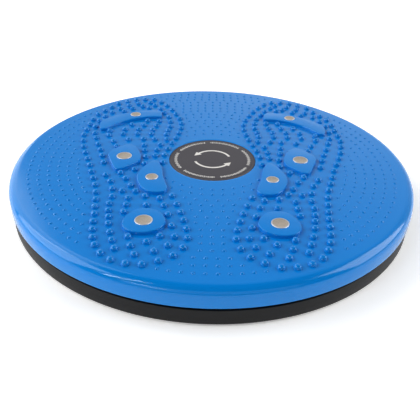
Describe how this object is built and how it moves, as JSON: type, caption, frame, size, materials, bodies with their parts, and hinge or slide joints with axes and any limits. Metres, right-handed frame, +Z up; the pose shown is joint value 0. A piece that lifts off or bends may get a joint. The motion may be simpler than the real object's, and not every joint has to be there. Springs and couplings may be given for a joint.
{
  "type": "waist twisting disc",
  "caption": "Round twisting platform to stand on: a glossy top with two nubbed foot shapes, round magnets and a plain centre label turns on ball bearings over a flat black base.",
  "frame": {"origin": "on the floor under the centre of the disc, at the underside of the rubber feet", "axes": "+Z up along the turning axis, +Y towards the toes of the two foot shapes, +X towards the right foot"},
  "size_m": [0.25, 0.25, 0.0252],
  "materials": {
    "blue_top": "gloss",
    "label": "satin",
    "magnet": "satin",
    "black_base": "satin",
    "retainer": "matte",
    "bearing_steel": "polished",
    "bush": "matte",
    "zinc_steel": "satin",
    "foot_rubber": "matte"
  },
  "bodies": {
    "base": {"base_disc": "black_base", "centre_bush": "bush", "rubber_foot_1": "foot_rubber", "rubber_foot_2": "foot_rubber", "rubber_foot_3": "foot_rubber", "rubber_foot_4": "foot_rubber", "rubber_foot_5": "foot_rubber", "rubber_foot_6": "foot_rubber"},
    "cage": {"ball_retainer": "retainer", "bearing_balls": "bearing_steel"},
    "top": {"top_disc": "blue_top", "centre_label": "label", "left_toe_magnet": "magnet", "left_ball_magnet": "magnet", "left_arch_magnet": "magnet", "left_heel_magnet": "magnet", "right_toe_magnet": "magnet", "right_ball_magnet": "magnet", "right_arch_magnet": "magnet", "right_heel_magnet": "magnet", "centre_bolt": "zinc_steel", "head_washer": "zinc_steel", "nut_washer": "zinc_steel", "lock_nut": "zinc_steel"}
  },
  "joints": [
    {"name": "top_spin", "type": "hinge", "parent": "base", "child": "top", "pos_m": [0, 0, 0.0125], "axis": [0, 0, 1], "continuous": true},
    {"name": "cage_spin", "type": "hinge", "parent": "base", "child": "cage", "pos_m": [0, 0, 0.0125], "axis": [0, 0, 1], "continuous": true}
  ],
  "couplings": [
    {"joint": "cage_spin", "follows": "top_spin", "ratio": 0.5}
  ]
}
